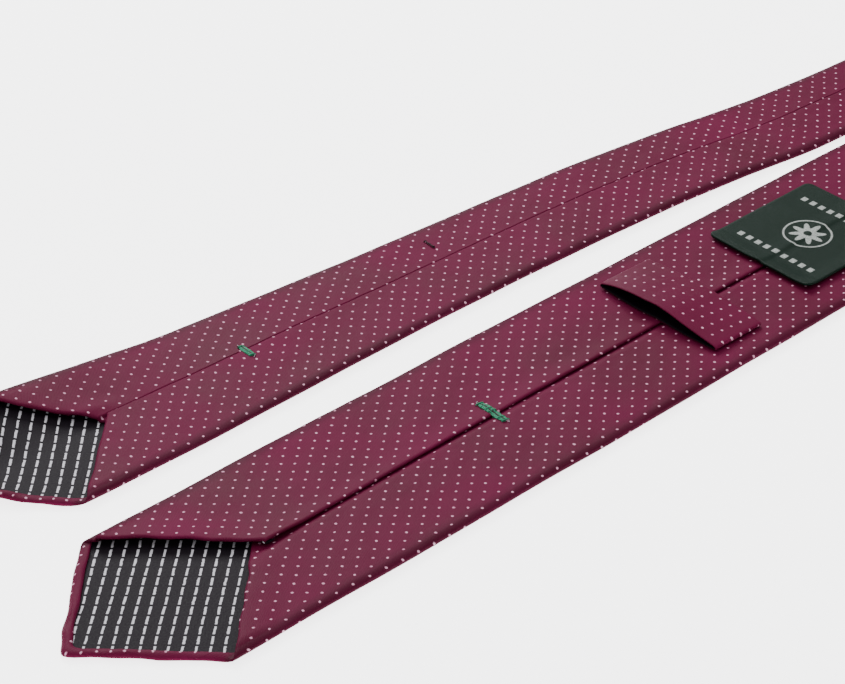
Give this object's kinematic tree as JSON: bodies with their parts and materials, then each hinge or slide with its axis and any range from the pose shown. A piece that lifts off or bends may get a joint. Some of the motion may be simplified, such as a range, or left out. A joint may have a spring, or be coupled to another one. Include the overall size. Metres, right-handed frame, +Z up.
{
  "type": "necktie",
  "caption": "Necktie lying folded in two, back side up, with pointed ends, keeper loop, woven label and tacks, worn knotted round a collar.",
  "frame": {"origin": "middle of the blade's shoulder line, on the front face that the tie lies on", "axes": "+X along the blade from its point to the neck, +Y from the blade to the tail, +Z up, away from the surface it lies on"},
  "size_m": [0.7425, 0.1678, 0.0515],
  "materials": {
    "silk": "burgundy jacquard with small woven dots, soft sheen",
    "hem_silk": "the same cloth, rolled",
    "interlining": "matt brushed wool",
    "green_thread": "satin embroidery thread",
    "dark_thread": "sewing thread",
    "label_satin": "dark green woven label with a pale motif"
  },
  "bodies": {
    "neck_blade_side": {"blade_shell_upper": "silk", "neck_shell_blade_side": "silk", "neck_interlining_blade_side": "interlining", "slip_stitch_neck_blade_side": "dark_thread"},
    "blade_end": {"blade_shell": "silk", "blade_interlining": "interlining", "slip_stitch_blade": "dark_thread", "blade_hem_left": "hem_silk", "blade_hem_right": "hem_silk", "blade_bar_tack": "green_thread", "keeper_loop": "silk", "label": "label_satin"},
    "neck_tail_side": {"neck_shell_tail_side": "silk", "tail_shell_upper": "silk", "neck_interlining_tail_side": "interlining", "slip_stitch_neck_tail_side": "dark_thread"},
    "tail_end": {"tail_shell": "silk", "tail_interlining": "interlining", "slip_stitch_tail": "dark_thread", "tail_hem_left": "hem_silk", "tail_hem_right": "hem_silk", "tail_bar_tack": "green_thread", "tail_dark_tack": "dark_thread"}
  },
  "joints": [
    {"name": "blade_lift", "type": "hinge", "parent": "neck_blade_side", "child": "blade_end", "pos_m": [0.47, 0, 0.003], "axis": [0, 1, 0], "range_deg": [0, 80]},
    {"name": "neck_fold", "type": "hinge", "parent": "neck_blade_side", "child": "neck_tail_side", "pos_m": [0.7035, 0.0325, 0.022], "axis": [0, 0, -1], "range_deg": [0, 40]},
    {"name": "tail_lift", "type": "hinge", "parent": "neck_tail_side", "child": "tail_end", "pos_m": [0.48, 0.065, 0.003], "axis": [0, 1, 0], "range_deg": [0, 80]}
  ]
}
